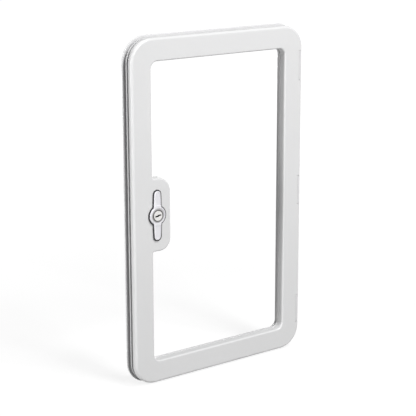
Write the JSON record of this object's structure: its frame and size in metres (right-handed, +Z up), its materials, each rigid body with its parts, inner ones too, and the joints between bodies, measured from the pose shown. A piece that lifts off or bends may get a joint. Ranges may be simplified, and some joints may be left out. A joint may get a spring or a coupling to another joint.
{
  "type": "service hatch",
  "caption": "Upright service hatch for a caravan wall: wall frame with collar, hinged door ring with rounded corners, lock tab, wing handle and key lock.",
  "frame": {"origin": "centre of the wall cut-out, in the plane of the flange's back face, which is the wall's outer skin", "axes": "+Z up, +Y into the vehicle, +X to the hinge side; the hatch faces -Y"},
  "size_m": [0.392, 0.0524, 0.646],
  "materials": {
    "frame_plastic": "satin moulded light grey plastic",
    "cover_plastic": "satin moulded light grey plastic",
    "rear_plastic": "satin moulded light grey plastic",
    "handle_plastic": "satin moulded light grey plastic",
    "foam": "closed cell sealing strip",
    "seal_rubber": "soft hollow rubber seal",
    "handle_rubber": "thin dark rubber pad",
    "pin_steel": "drawn stainless pin",
    "bracket_steel": "stamped zinc plated steel",
    "lock_metal": "die cast, plated",
    "cylinder_face": "pale satin metal with a dark keyway"
  },
  "bodies": {
    "frame": {"wall_frame": "frame_plastic", "wall_gasket": "foam", "door_seal": "seal_rubber", "upper_hinge_knuckle": "frame_plastic", "middle_hinge_knuckle": "frame_plastic", "lower_hinge_knuckle": "frame_plastic", "upper_hinge_pin": "pin_steel", "middle_hinge_pin": "pin_steel", "lower_hinge_pin": "pin_steel", "latch_keeper": "bracket_steel"},
    "door": {"door_cover": "cover_plastic", "door_rear_frame": "rear_plastic", "lock_barrel": "lock_metal", "lock_washer": "lock_metal", "lock_nut": "lock_metal"},
    "handle": {"wing_handle": "handle_plastic", "handle_seal": "handle_rubber", "handle_spindle": "lock_metal", "latch_tongue": "bracket_steel", "tongue_nut": "lock_metal"},
    "key": {"key_cylinder": "cylinder_face"}
  },
  "joints": [
    {"name": "door_swing", "type": "hinge", "parent": "frame", "child": "door", "pos_m": [0.188, -0.021, 0], "axis": [0, 0, 1], "range_deg": [0, 160]},
    {"name": "handle_turn", "type": "hinge", "parent": "door", "child": "handle", "pos_m": [-0.143, -0.026, 0], "axis": [0, -1, 0], "range_deg": [0, 90]},
    {"name": "key_turn", "type": "hinge", "parent": "handle", "child": "key", "pos_m": [-0.143, -0.026, 0], "axis": [0, -1, 0], "range_deg": [0, 90]}
  ]
}
